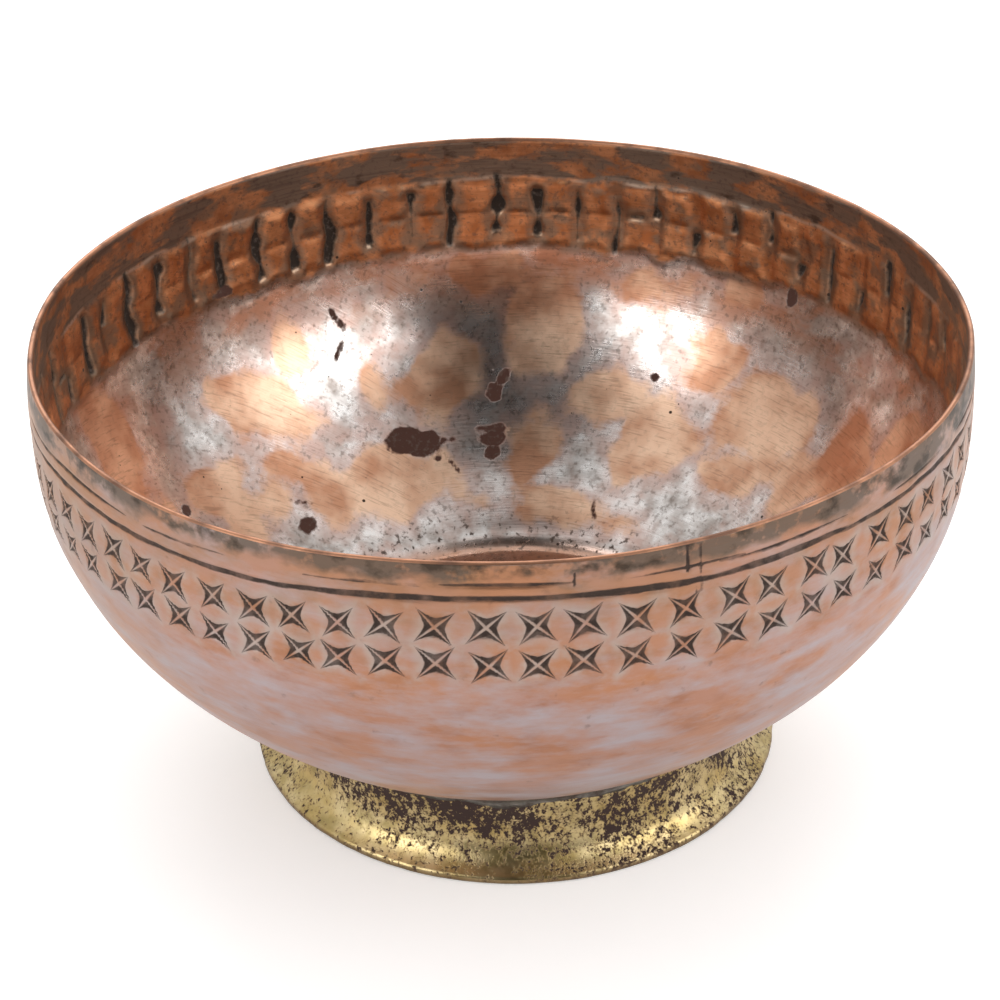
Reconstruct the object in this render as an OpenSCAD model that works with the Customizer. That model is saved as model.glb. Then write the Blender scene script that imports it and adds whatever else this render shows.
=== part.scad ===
// Footed copper bowl: a raised and tinned copper shell, soft soldered to a flared brass foot ring.
// The origin is on the surface that the bowl stands on, under the shell's axis. +Z is up.

/* [Shell] */
// Height of the rim above the table
bowl_h = 108; // [104:0.5:116]
// Outer diameter at the widest place, below the rim
belly_d = 202.5; // [196:0.5:208]
// Outer diameter at the rim's edge
rim_d = 200; // [190:0.5:202]
// Height of the widest place
belly_z = 89; // [85:1:92]
// Thickness of the raised sheet
wall_t = 1.2; // [0.8:0.1:1.6]
// Outer diameter of the flat floor, up to its crease
floor_d = 102; // [98:1:104]
// Height of the floor's underside above the table
floor_z = 14.2; // [13:0.2:15]
// Steepness of the wall where it leaves the floor, in degrees
wall_rise = 48; // [45:1:52]

/* [Turned lines] */
// Distance of the fine line below the rim
fine_line_drop = 5.2; // [3.6:0.1:5.6]
// Width of the fine line
fine_line_w = 0.6; // [0.3:0.1:0.9]
// Distance of the broad line below the rim
broad_line_drop = 7.8; // [7:0.1:8.6]
// Width of the broad line
broad_line_w = 1.2; // [0.6:0.1:1.4]
// Depth of a line as a share of its width
line_depth = 0.3; // [0.2:0.05:0.4]

/* [Star punches] */
// Number of stars in each of the two rows
star_count = 64; // [40:1:68]
// Distance of the upper row's middle below the rim
star_drop = 14; // [13.6:0.2:16]
// Distance from the upper row down to the lower row
star_row_gap = 8.2; // [7.6:0.2:9]
// Size of a star across its diagonal points
star_d = 9; // [6:0.2:9.4]
// Depth of the punched pits
star_depth = 0.4; // [0.2:0.05:0.6]

/* [Foot ring] */
// Outer diameter of the ring where it stands
foot_d = 122; // [116:1:128]
// Outer diameter of the ring at its neck
neck_d = 110; // [108:1:112]
// Thickness of the ring's sheet
foot_t = 1.5; // [1:0.1:2]
// Height of the upright lip that the ring stands on
lip_h = 1.3; // [0.8:0.1:2]
// Distance that the ring sits off the shell's axis
foot_off_x = 2.4; // [0:0.1:3]

/* [Solder] */
// Leg of the outer solder fillet
outer_leg = 2; // [1:0.1:2.6]
// Leg of the inner solder fillet
inner_leg = 2.2; // [1.4:0.1:2.6]

/* [Hidden] */
$fn = 180;
curve_steps = 18;      // straight pieces in the ring's curve
wall_steps = 24;       // straight pieces in the wall's curve
crease_steps = 6;      // straight pieces in the floor's crease
rim_steps = 4;         // straight pieces between the widest place and the rim
crease_bend = 3;       // how far the floor's crease is rounded, each side of its corner
wall_pull = 14;        // length of the wall curve's handle at the floor
belly_pull = 43.3;     // length of the wall curve's handle at the widest place
neck_straight = 5;     // straight length of the ring's neck, which the solder holds
neck_pull = 7;         // length of the ring curve's handle at the neck
flare_pull = 5;        // length of the ring curve's handle at the lip
flare_angle = 33;      // slope of the flare where it reaches the lip, in degrees
solder_steps = 90;     // sections round a run of solder
cut_over = 0.3;        // how far a cutter stands out of the surface it cuts
pit_start = 0.12;      // where a pit's point lies, as a share of the star's reach
pit_end = 0.92;        // where a pit's wide end lies, as a share of the same
pit_half = 0.8;        // half width of that end, as a share of the same

belly_r = belly_d / 2;
rim_r = rim_d / 2;
neck_r = neck_d / 2;
foot_r = foot_d / 2;

function bezier2(a, b, c, steps) =
    [for (i = [0:steps]) let (t = i / steps) (1 - t) ^ 2 * a + 2 * t * (1 - t) * b + t ^ 2 * c];

function bezier3(a, b, c, d, steps) =
    [for (i = [0:steps]) let (t = i / steps)
        (1 - t) ^ 3 * a + 3 * t * (1 - t) ^ 2 * b + 3 * t ^ 2 * (1 - t) * c + t ^ 3 * d];

// The same line moved sideways, to its left, by dist.
function beside(line, dist) =
    [for (i = [0:len(line) - 1])
        let (along = line[min(i + 1, len(line) - 1)] - line[max(i - 1, 0)])
        line[i] + dist * [-along[1], along[0]] / norm(along)];

function backwards(line) = [for (i = [len(line) - 1:-1:0]) line[i]];
function after_first(line) = [for (i = [1:len(line) - 1]) line[i]];

// Half section of the shell's outside: floor, crease, wall up to the widest place, then in to the rim.
corner = [floor_d / 2, floor_z];
rise = [cos(wall_rise), sin(wall_rise)];
wall_start = corner + crease_bend * rise;
widest = [belly_r, belly_z];
rim_z = bowl_h - wall_t / 2;
crease_line = bezier2(corner - [crease_bend, 0], corner, wall_start, crease_steps);
wall_line = bezier3(wall_start, corner + wall_pull * rise, widest - [0, belly_pull], widest, wall_steps);
rim_line = bezier2(widest, [belly_r, (belly_z + rim_z) / 2], [rim_r, rim_z], rim_steps);
outside = concat([[0, floor_z]], crease_line, after_first(wall_line), after_first(rim_line));
inside = beside(outside, wall_t);

function wall_r(z) = lookup(z, [for (p = after_first(outside)) [p[1], p[0]]]);
function underside_z(r) = lookup(r, concat(crease_line, after_first(wall_line)));

joint_z = underside_z(neck_r);
joint_rise = atan(underside_z(neck_r + 0.5) - underside_z(neck_r - 0.5));

module rim_edge() {
    last = len(outside) - 1;
    translate((outside[last] + inside[last]) / 2) circle(d = wall_t, $fn = 24);
}

module shell_blank() {
    rotate_extrude() {
        polygon(concat(outside, backwards(inside)));
        rim_edge();
    }
}

// Everything that the shell's outside encloses, which trims the ring and the solder to the shell.
module shell_envelope() {
    rotate_extrude() polygon(concat(outside, [[0, rim_z]]));
}

module turned_line(drop, w) {
    z = bowl_h - drop;
    rotate_extrude() translate([wall_r(z), z])
        polygon([[cut_over, -w / 2], [cut_over, w / 2], [0, w / 2], [-line_depth * w, 0], [0, -w / 2]]);
}

// One blow of the punch: four pits round a raised cross, which together make a star.
module star_pits() {
    reach = star_d / 2 * cos(45);
    for (side = [0:90:270]) rotate(side)
        polygon(reach * [[0, pit_start], [pit_half, pit_end], [-pit_half, pit_end]]);
}

module star_row(z) {
    for (i = [0:star_count - 1]) rotate(i * 360 / star_count)
        translate([wall_r(z) - star_depth, 0, z]) rotate([90, 0, 90])
            linear_extrude(star_depth + 2 * cut_over) star_pits();
}

module bowl_shell() {
    color("#c07a5b") difference() {
        shell_blank();
        turned_line(fine_line_drop, fine_line_w);
        turned_line(broad_line_drop, broad_line_w);
        star_row(bowl_h - star_drop);
        star_row(bowl_h - star_drop - star_row_gap);
    }
}

// Half section of the ring's outside: up the lip, in along the flare and up the neck, into the shell.
module ring_section() {
    lip_top = [foot_r, lip_h];
    neck_low = [neck_r, joint_z - neck_straight];
    neck_top = [neck_r, joint_z + 2 * foot_off_x + 1];
    flare = [-cos(flare_angle), sin(flare_angle)];
    curve = bezier3(lip_top, lip_top + flare_pull * flare, neck_low - [0, neck_pull], neck_low, curve_steps);
    line = concat([[foot_r, 0], lip_top], after_first(curve), [neck_top]);
    inner_line = beside(after_first(line), foot_t);
    polygon(concat(line, backwards(inner_line), [[foot_r - foot_t, 0]]));
}

module ring_blank() {
    translate([foot_off_x, 0, 0]) rotate_extrude() ring_section();
}

module foot_ring() {
    color("#b39347") difference() {
        ring_blank();
        shell_envelope();
    }
}

// Section of a run of solder, a degrees round the ring at radius r: a corner where ring and shell meet, a
// point down the ring and a point along the shell's underside. side is 1 outside the ring, -1 inside it.
function solder_section(a, r, leg, side) =
    let (
        out = [cos(a), sin(a)],
        corner = [foot_off_x, 0] + r * out,
        far = corner + side * leg * cos(joint_rise) * out,
        corner_z = underside_z(norm(corner))
    )
    [concat(corner, [corner_z]), concat(corner, [corner_z - leg]), concat(far, [underside_z(norm(far))])];

module solder_run(r, leg, side) {
    points = [for (i = [0:solder_steps - 1]) each solder_section(i * 360 / solder_steps, r, leg, side)];
    faces = [for (i = [0:solder_steps - 1]) for (k = [0:2])
        let (next = (i + 1) % solder_steps, m = (k + 1) % 3)
            [3 * i + k, 3 * next + k, 3 * next + m, 3 * i + m]];
    color("#9d9c98") polyhedron(points, side > 0 ? faces : [for (f = faces) backwards(f)]);
}

module outer_solder_fillet() { solder_run(neck_r, outer_leg, 1); }
module inner_solder_fillet() { solder_run(neck_r - foot_t, inner_leg, -1); }

bowl_shell();
foot_ring();
outer_solder_fillet();
inner_solder_fillet();
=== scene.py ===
# Footed copper bowl: a raised copper shell, tinned and long worn, on a flared brass foot ring.
import math
from functools import partial
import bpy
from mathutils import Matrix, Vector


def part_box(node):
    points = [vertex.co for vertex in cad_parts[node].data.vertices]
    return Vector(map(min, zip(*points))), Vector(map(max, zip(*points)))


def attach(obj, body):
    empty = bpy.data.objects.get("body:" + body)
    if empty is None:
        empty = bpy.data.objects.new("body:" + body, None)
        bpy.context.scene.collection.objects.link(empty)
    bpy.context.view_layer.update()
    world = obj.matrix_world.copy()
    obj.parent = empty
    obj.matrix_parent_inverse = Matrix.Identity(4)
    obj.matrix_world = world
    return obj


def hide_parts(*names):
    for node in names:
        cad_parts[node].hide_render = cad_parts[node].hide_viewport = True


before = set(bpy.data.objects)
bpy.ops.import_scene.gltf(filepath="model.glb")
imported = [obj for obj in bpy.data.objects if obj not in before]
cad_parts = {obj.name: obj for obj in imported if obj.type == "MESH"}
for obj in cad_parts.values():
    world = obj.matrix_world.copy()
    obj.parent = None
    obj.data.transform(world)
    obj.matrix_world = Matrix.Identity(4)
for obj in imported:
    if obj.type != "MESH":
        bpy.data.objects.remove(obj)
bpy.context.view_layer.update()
from types import SimpleNamespace
import bpy
import numpy as np
from mathutils import Matrix, Vector

mm = 0.001  # everything below is worked out in millimetres and built in metres
shellLow, shellHigh = [np.array(corner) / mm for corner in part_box("bowl_shell")]
footLow, footHigh = [np.array(corner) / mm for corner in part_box("foot_ring")]
print("frame loaded, shell", np.round(shellHigh - shellLow, 1), "mm")


def smooth(low, high, x):  # 0 below low, 1 above high, with soft ends
    t = np.clip((x - low) / (high - low), 0, 1)
    return t * t * (3 - 2 * t)


def softNoise(points, size, seed):  # from -1 to 1, with bumps about size mm apart
    spot = points / size + seed * 7.31
    cell = np.floor(spot).astype(np.int64)
    part = spot - cell
    part = part * part * (3 - 2 * part)
    total = np.zeros(len(points))
    for corner in range(8):
        step = np.array([corner & 1, corner >> 1 & 1, corner >> 2 & 1])
        x, y, z = (cell + step).T
        mixed = x * 73856093 ^ y * 19349663 ^ z * 83492791  # large primes scramble the cell's place
        mixed = (mixed ^ (mixed >> 13)) * 1274126177
        height = ((mixed ^ (mixed >> 16)) & 65535) / 32767.5 - 1
        total += height * np.prod(np.where(step == 1, part, 1 - part), axis=1)
    return total


def noiseSum(points, layers):  # layers of noise: size of the bumps in mm, height and seed
    return sum(height * softNoise(points, size, seed) for size, height, seed in layers)


def around(bearing, values):  # values are set evenly round the bowl, the first at the front
    spot = (bearing % 360) / 360 * len(values)
    first = np.floor(spot).astype(int) % len(values)
    t = smooth(0, 1, spot - np.floor(spot))
    values = np.array(values, float)
    return values[first] * (1 - t) + values[(first + 1) % len(values)] * t


def turn(degrees):  # an angle brought to -180 to 180
    return (degrees + 180) % 360 - 180


def curve(points, count):  # a Bezier curve of any order, as an array of points
    t = np.linspace(0, 1, count)[:, None]
    points = [np.array(p, float) for p in points]
    order = len(points) - 1
    return sum(math.comb(order, k) * t ** k * (1 - t) ** (order - k) * p for k, p in enumerate(points))


def walk(line, gap):  # points along a line, as far apart as gap says at each place
    step = np.hypot(*np.diff(line, axis=0).T)
    count = np.concatenate([[0], np.cumsum(step / gap((line[1:] + line[:-1]) / 2))])
    wanted = np.linspace(0, count[-1], int(round(count[-1])) + 1)
    return np.stack([np.interp(wanted, count, line[:, k]) for k in (0, 1)], axis=1)


def normals(line):  # unit normals on the right of a line that is drawn in radius and height
    along = np.gradient(line, axis=0)
    along /= np.linalg.norm(along, axis=1)[:, None]
    return np.stack([along[:, 1], -along[:, 0]], axis=1)


def place(bearing, radius, height):  # bearing 0 is the front, -Y, and 90 is +X
    angle = np.radians(bearing)
    return np.stack([radius * np.sin(angle), -radius * np.cos(angle), height], axis=1)


def spin(profile, counts):  # rings from a profile: bearing, radius, height and normal of each point
    bearing = np.concatenate([np.arange(n) * 360 / n for n in counts])
    radius, height = np.repeat(profile[:, 0], counts), np.repeat(profile[:, 1], counts)
    across, up = np.repeat(normals(profile), counts, axis=0).T
    return bearing, radius, height, place(bearing, across, up)


def ringFaces(a, m, b, n):  # faces between a ring of m points from a and one of n points from b
    if m == 1:
        return [(a, b + (j + 1) % n, b + j) for j in range(n)]
    if n == 1:
        return [(a + j, a + (j + 1) % m, b) for j in range(m)]
    if m == n:
        return [(a + j, a + (j + 1) % m, b + (j + 1) % n, b + j) for j in range(m)]
    if m == 2 * n:
        return [(a + 2 * j, a + 2 * j + 1, a + (2 * j + 2) % m, b + (j + 1) % n, b + j) for j in range(n)]
    return [(a + j, a + (j + 1) % m, b + (2 * j + 2) % n, b + 2 * j + 1, b + 2 * j) for j in range(m)]


def skin(name, counts, points, closed):  # joins rings of points into one closed mesh
    starts = [int(start) for start in np.concatenate([[0], np.cumsum(counts)])]
    pairs = list(zip(range(len(counts) - 1), range(1, len(counts))))
    if closed:
        pairs.append((len(counts) - 1, 0))
    faces = []
    for low, high in pairs:
        faces += ringFaces(starts[low], counts[low], starts[high], counts[high])
    mesh = bpy.data.meshes.new(name)
    mesh.from_pydata((points * mm).tolist(), [], faces)
    mesh.polygons.foreach_set("use_smooth", [True] * len(faces))
    piece = bpy.data.objects.new(name, mesh)
    bpy.context.scene.collection.objects.link(piece)
    return piece


def keepField(piece, name, values):  # a number at each point of the mesh, for the material to read
    piece.data.attributes.new(name, "FLOAT", "POINT").data.foreach_set("value", np.asarray(values, "f"))


shell = {
    "height": 108.0,
    "wall": 1.2,             # thickness of the sheet
    "floorRadius": 51,       # outside, at the crease
    "creaseBend": 3,
    "wallRise": 48,          # degrees, where the wall leaves the floor
    "wallPull": 14,
    "bellyPull": 43.3,
    "bellyHeight": 89,
    "rimRadius": 100,
    "columns": 1200,         # points round the starred band
    "fineGap": 0.55,         # mm between rows in the starred band
    "rimDrop": [0.9, 0.0, 0.3, 0.6, 1.0, 1.5, 1.8, 2.2],  # how far the rim is below its highest place
    "dropFrom": 62,          # height where the rim's wave begins
    "floorShift": 3.0,       # the sunk floor was struck this far off the axis
    "hammering": [(31, 0.22, 1), (14, 0.11, 2), (6.5, 0.03, 3)],
    "drawnIn": 0.12,         # how far the hammered sheet lies inside the true outline, on average
    "floorLip": (52.0, 1.3, 0.5),  # the lip round the sunk floor: radius, half width and height
    "floorCrown": 0.8,       # how far the floor's middle stands up
    "clearance": (0.02, 0.03),  # kept inside the frame's box by the outline, and by every point
}
bellyRadius = (shellHigh[0] - shellLow[0]) / 2
underFloor = shellLow[2]


def shellOutside():  # half section: floor, crease, wall up to the widest place, then in to the rim
    rise = math.radians(shell["wallRise"])
    rise = np.array([math.cos(rise), math.sin(rise)])
    corner = np.array([shell["floorRadius"], underFloor])
    wallStart = corner + shell["creaseBend"] * rise
    widest = np.array([bellyRadius - shell["clearance"][0], shell["bellyHeight"]])
    edge = np.array([shell["rimRadius"], shell["height"] - shell["wall"] / 2])
    crease = curve([corner - [shell["creaseBend"], 0], corner, wallStart], 20)
    pulls = [corner + shell["wallPull"] * rise, widest - [0, shell["bellyPull"]]]
    wall = curve([wallStart, *pulls, widest], 300)
    rim = curve([widest, [widest[0], (widest[1] + edge[1]) / 2], edge], 60)
    return np.vstack([[[0, underFloor]], crease, wall[1:], rim[1:]])


def shellInside():
    outside = shellOutside()
    inside = outside - shell["wall"] * normals(outside)
    inside[0, 0] = 0
    return inside


def alongWall(height):  # mm along the inside of the section, from the middle of the floor
    inside = shellInside()
    arc = np.concatenate([[0], np.cumsum(np.hypot(*np.diff(inside, axis=0).T))])
    return np.interp(height, inside[1:, 1], arc[1:])


def alongInside(radius, height):  # the same, which on the flat floor is the radius
    return np.where(radius < 50, radius, alongWall(height))


stars = {
    "count": 64,             # in each of the two rows
    "crowding": 0.09,        # they stand this much closer at the front and wider at the back
    "start": 1.8,            # degrees from the first star to the front
    "tip": 3.6,              # mm across and up from a star's middle to each of its points
    "waist": 1.95,           # mm from its middle to the hollow between two points
    "hollow": 1.35,          # how sharply it draws in between its points
    "ridge": (0.3, 0.02),    # half width of the raised cross that parts its four pits, middle and tips
    "depth": 0.5,
    "sink": 0.14,            # how far the blow takes the sheet round a star down with it
    "burr": 0.05,            # how far metal stands up round a pit
    "upperRow": [94.0, 94.3, 93.0, 91.5, 90.8, 90.0, 88.5, 90.8],  # height of the row round the bowl
    "lowerRow": [86.0, 86.4, 85.2, 83.4, 82.2, 81.6, 81.6, 83.0],
}
chance = np.random.default_rng(22)
starStep = 360 / stars["count"]


def crowd(bearing, way):  # way -1 goes from even spacing to the hand's own spacing, and 1 back
    return bearing + way * np.degrees(stars["crowding"]) * np.sin(np.radians(bearing))


evenBearing = np.arange(stars["count"]) * starStep - stars["start"]
starBearing = crowd(evenBearing, -1) + chance.uniform(-0.4, 0.4, stars["count"])
starLift = chance.uniform(-0.35, 0.35, (2, stars["count"]))
starSlip = chance.uniform(-0.3, 0.3, (2, stars["count"]))
starLean = chance.uniform(-7, 7, (2, stars["count"]))
starScale = chance.uniform(0.9, 1.06, (2, stars["count"]))


def nearStars(bearing, offset):  # the three nearest numbers in a set of marks spaced like the stars
    first = np.round((crowd(bearing, 1) + stars["start"] - offset) / starStep).astype(int)
    return [(first + shift) % stars["count"] for shift in (-1, 0, 1)]


def starField(bearing, radius, height):  # mm inside the nearest pit's outline, mm from the nearest star,
    pit, away = np.full(len(bearing), -9.0), np.full(len(bearing), 99.0)  # and its own two coordinates
    own = np.full((2, len(bearing)), 9.0)
    tip, waist, (ridge, ridgeTip) = stars["tip"], stars["waist"], stars["ridge"]
    for index in nearStars(bearing, 0):
        for row, heights in enumerate((stars["upperRow"], stars["lowerRow"])):
            middle = around(starBearing, heights)[index] + starLift[row][index]
            u = np.radians(turn(bearing - starBearing[index] - starSlip[row][index])) * radius
            v = height - middle
            lean = np.radians(starLean[row][index])
            u, v = u * np.cos(lean) - v * np.sin(lean), u * np.sin(lean) + v * np.cos(lean)
            small, large = np.sort(np.abs([u, v]) / starScale[row][index], axis=0)
            outline = waist + (tip - waist) * (small / tip) ** stars["hollow"]
            side = (large - small) / math.sqrt(2) - ridge + (ridge - ridgeTip) * np.minimum(small / tip, 1)
            inside = np.minimum(side, outline - large)
            pit = np.maximum(pit, np.where(small < tip, inside, -9.0))
            far = np.maximum(np.maximum(large - outline, np.hypot(u, v) - 1.42 * tip), 0)
            own = np.where(far <= away, np.array([u, v]) / starScale[row][index], own)
            away = np.minimum(away, far)
    return pit, away, own


lines = {
    "depth": 0.32,
    # each line is a row of strokes of the graver, tapered at both ends: reach is half a stroke's length as a
    # share of the strokes' spacing, and height is given round the bowl from the front
    "broad": {"width": 1.25, "strokes": 24, "reach": (0.62, 0.85), "seed": 5,
              "height": [100.0, 99.6, 98.6, 98.0, 97.5, 96.8, 96.0, 97.4]},
    "fine": {"width": 0.62, "strokes": 21, "reach": (0.36, 0.52), "seed": 6,
             "height": [102.8, 102.3, 101.4, 101.0, 100.4, 99.8, 98.9, 100.3]},
}


def lineField(bearing, height, line):  # mm inside the nearest graver's stroke
    field = np.full(len(bearing), -9.0)
    middle = around(bearing, line["height"])
    spacing = 360 / line["strokes"]
    luck = np.random.default_rng(line["seed"])
    for k in range(line["strokes"]):
        centre = (k + luck.uniform(-0.2, 0.2)) * spacing
        half = spacing * luck.uniform(*line["reach"])
        lift, slope = luck.uniform(-0.25, 0.25), luck.uniform(-0.4, 0.4)
        t = turn(bearing - centre) / half
        halfWidth = line["width"] / 2 * np.clip(1 - t * t, 0, 1) ** 0.65 * luck.uniform(0.75, 1.2)
        stroke = halfWidth - np.abs(height - middle - lift - slope * t)
        field = np.maximum(field, np.where(np.abs(t) < 1, stroke, -9.0))
    return field


tiles = {
    "lift": 0.48,            # how far the backs of the stars stand up inside
    "step": 0.4,             # how far the whole punched band stands in from the wall
    "furrowDepth": 0.8,
    "furrowWidth": (0.5, 1.2),  # half width of the furrows between the backs, least and most
    "ridge": 0.35,           # the burr that stands along the top of the band
}
furrowBearing = starBearing + starStep / 2 + chance.uniform(-0.5, 0.5, stars["count"])
furrowWidth = chance.uniform(*tiles["furrowWidth"], stars["count"])
furrowKind = chance.uniform(0, 1, stars["count"])  # some run the whole height, some only part of it
furrowTop = np.where(furrowKind < 0.22, -5.5, chance.uniform(1.5, 6.5, stars["count"]))
furrowFoot = np.where(furrowKind > 0.8, -5.0, chance.uniform(1.0, 5.5, stars["count"]))
furrowSway = chance.uniform(-0.7, 0.7, stars["count"])
dashOn = chance.uniform(0, 1, stars["count"])


def tileField(points, bearing, radius, height):  # lift of the stars' backs, the furrows and the band's step
    upper, lower = around(bearing, stars["upperRow"]), around(bearing, stars["lowerRow"])
    rough, coarse = softNoise(points, 2.6, 31), softNoise(points, 7, 32)
    swell = softNoise(points, 3.6, 33)
    furrow, side = np.full(len(bearing), -9.0), np.full(len(bearing), 9.0)
    for k in nearStars(bearing, starStep / 2):
        low, high = lower - furrowFoot[k], upper + furrowTop[k]
        sway = furrowSway[k] * np.sin((height - low) * 0.45 + k)
        across = np.abs(np.radians(turn(bearing - furrowBearing[k])) * radius - sway)
        side = np.minimum(side, across)
        width = furrowWidth[k] * np.clip(0.85 + 1.1 * swell, 0.25, 2.2)
        ends = np.minimum(height - low, high - height) * 0.7
        furrow = np.maximum(furrow, np.minimum(width - np.abs(across - 0.25 * rough), ends + 0.4 * rough))
    lift = np.zeros(len(bearing))
    for middle in (upper, lower):
        edge = np.minimum(side - 0.7, 5.2 + 0.8 * swell - np.abs(height - middle)) + 0.3 * rough
        lift = np.maximum(lift, smooth(0, 2.6, edge))
    nearest = nearStars(bearing, 0)[1]
    between = (upper + lower) / 2 + 0.6 * coarse + starSlip[0][nearest] * 5
    dash = np.minimum(0.42 - np.abs(height - between), side - 3.0)  # a few short cuts between the rows
    furrow = np.maximum(furrow, np.where(dashOn[nearest] > 0.86, dash + 0.45 * rough, -9.0))
    ledge = height - (lower - 5.4 + 1.3 * coarse + 0.8 * rough)
    band = height - (upper + 5.2 + 0.8 * coarse)
    step = smooth(-2.2, 1.6, ledge) * (1 - 0.65 * smooth(-0.8, 0.6, band))
    return lift, furrow, step, ledge, band


wear = {
    # cuts down the rim's band: bearing, half width in mm, and the heights they run between
    "nicks": [
        (19.2, 0.3, 101.5, 108), (20.6, 0.24, 100.5, 106.8), (20.2, 0.2, 96.0, 98.6),
        (20.8, 0.18, 97.0, 99.0), (7.2, 0.16, 102, 104.6),
    ],
    # broad dents of the raising stakes inside: bearing, height, half width, half height in mm, and depth,
    # where minus is a swelling
    "dents": [
        (196, 57, 17, 14, 0.55), (172, 50, 14, 17, -0.35), (160, 62, 15, 12, 0.5), (215, 60, 16, 13, 0.45),
        (228, 46, 20, 15, -0.45), (243, 58, 13, 20, 0.6), (205, 38, 16, 10, -0.3), (146, 48, 18, 14, 0.4),
        (130, 60, 15, 15, -0.4), (117, 50, 12, 18, 0.6), (181, 66, 12, 8, -0.35), (186, 30, 18, 8, 0.3),
        (100, 66, 15, 12, 0.35), (262, 62, 16, 14, -0.3), (60, 52, 20, 16, 0.4), (20, 58, 20, 15, -0.3),
        (335, 50, 22, 14, 0.4), (300, 60, 18, 16, -0.35),
    ],
    # where the tin has worn off the inside: bearing, height, half width, half height in mm, lean in degrees
    "worn": [
        (215, 61, 5.5, 6.5, 10), (225, 51, 18, 8.5, -38), (237, 42, 4, 5.5, -10), (227, 39, 3, 2.2, 0),
        (243, 42, 9, 7, -20), (237, 34, 14, 6, 10), (208, 30, 20, 9.5, -8), (203, 47, 4.5, 8, -15),
        (189.5, 48, 9, 13, -14), (172, 59, 10, 12, -8), (130, 50, 17, 11, 5), (143, 56, 8, 7, 0),
        (150, 38, 12, 11, 10), (174, 34, 7, 9, 0), (160, 43, 10, 8, 20), (131, 37, 8, 5, 0),
        (118, 42, 10, 9, 0), (141, 73, 6, 3.5, 0), (111, 50, 8, 12, 10), (99, 62, 10, 12, 0),
        (254, 62, 9, 16, 5),
        (262, 45, 12, 8, 0), (185, 71, 14, 3.5, 0), (158, 70, 8, 4, 0), (168, 24, 12, 4, 0),
    ],
    "wornEdge": [(9, 3.2, 41), (5, 3.4, 42)],  # what makes the edges of the worn places ragged
    "wornFront": [(26, 8, 43), (11, 3, 44)],   # the front wall has worn places of its own, by chance
    # bare brown patches burnt through tin and copper alike, in the same order
    "burnt": [
        (199.5, 36.0, 5.5, 3.6, -8), (196, 34.8, 5.0, 3.4, 4), (192, 35.2, 2.4, 0.7, 0),
        (208.3, 37.0, 1.5, 0.6, 10), (181.4, 36.6, 4.4, 1.6, 0), (181.8, 34.6, 3.6, 2.0, 0),
        (182.0, 32.4, 2.1, 2.0, 0),
        (193.6, 32.0, 0.9, 0.8, 0), (179.4, 46.8, 1.5, 2.6, -35), (181.4, 43.6, 2.0, 2.4, -20),
        (191, 31.0, 0.6, 2.4, 35), (228.5, 27.8, 2.6, 1.9, 10), (226.5, 31.5, 2.8, 0.55, -32),
        (250.5, 42.2, 1.7, 1.6, 0), (206.0, 63.2, 0.9, 4.0, 27), (206.6, 57.4, 0.9, 4.4, -38),
        (133, 77, 1.4, 2.2, 0), (224, 79, 2.4, 1.2, 0), (157.5, 24, 0.55, 2.8, 20), (153, 50, 0.9, 0.8, 0),
    ],
    "burntEdge": [(2.9, 0.55, 46), (1.4, 0.4, 45)],
}


def patchField(spots, bearing, radius, along):  # mm inside the nearest patch's outline
    field = np.full(len(bearing), -30.0)
    for at, height, halfWide, halfHigh, lean in spots:
        a = np.radians(turn(bearing - at)) * radius
        d = along - alongWall(height)
        lean = math.radians(lean)
        a, d = a * math.cos(lean) - d * math.sin(lean), a * math.sin(lean) + d * math.cos(lean)
        reach = np.sqrt((a / halfWide) ** 2 + (d / halfHigh) ** 2)
        field = np.maximum(field, (1 - reach) * min(halfWide, halfHigh))
    return field


def outsideMarks(points, bearing, radius, height, level):  # how far the punches and graver move the metal
    pit, away, own = starField(bearing, radius, level)
    line = np.maximum(lineField(bearing, level, lines["broad"]), lineField(bearing, level, lines["fine"]))
    for at, half, low, high in wear["nicks"]:
        sideways = np.abs(np.radians(turn(bearing - at)) * shell["rimRadius"])
        ends = np.minimum(level - low, high - level)
        line = np.maximum(line, np.minimum(half - sideways, ends))
    offset = -stars["depth"] * smooth(-0.12, 0.55, pit) - stars["sink"] * (1 - smooth(2.2, 4.6, away))
    offset -= lines["depth"] * smooth(-0.1, 0.4, line)
    offset += stars["burr"] * smooth(-0.9, -0.3, pit) * (1 - smooth(-0.2, 0.1, pit))
    return offset, {"starU": own[0], "starV": own[1], "halo": away, "line": line}


def wornField(points, bearing, radius, along):  # mm inside the nearest place where copper shows through tin
    copper = patchField(wear["worn"], bearing, radius, along)
    front = 1 - smooth(80, 100, np.abs(turn(bearing)))
    free = noiseSum(points, wear["wornFront"]) - 1.5
    copper = np.where(front > 0.01, np.maximum(copper, free * front - 12 * (1 - front)), copper)
    (size, height, seed), (sizeDown, heightDown, seedDown) = wear["wornEdge"]
    ragged = height * softNoise(points, size, seed)
    ragged += heightDown * softNoise(points * [1, 1, 0.4], sizeDown, seedDown)  # streaks run down the wall
    return np.clip(copper + ragged, -9, 9)


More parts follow.
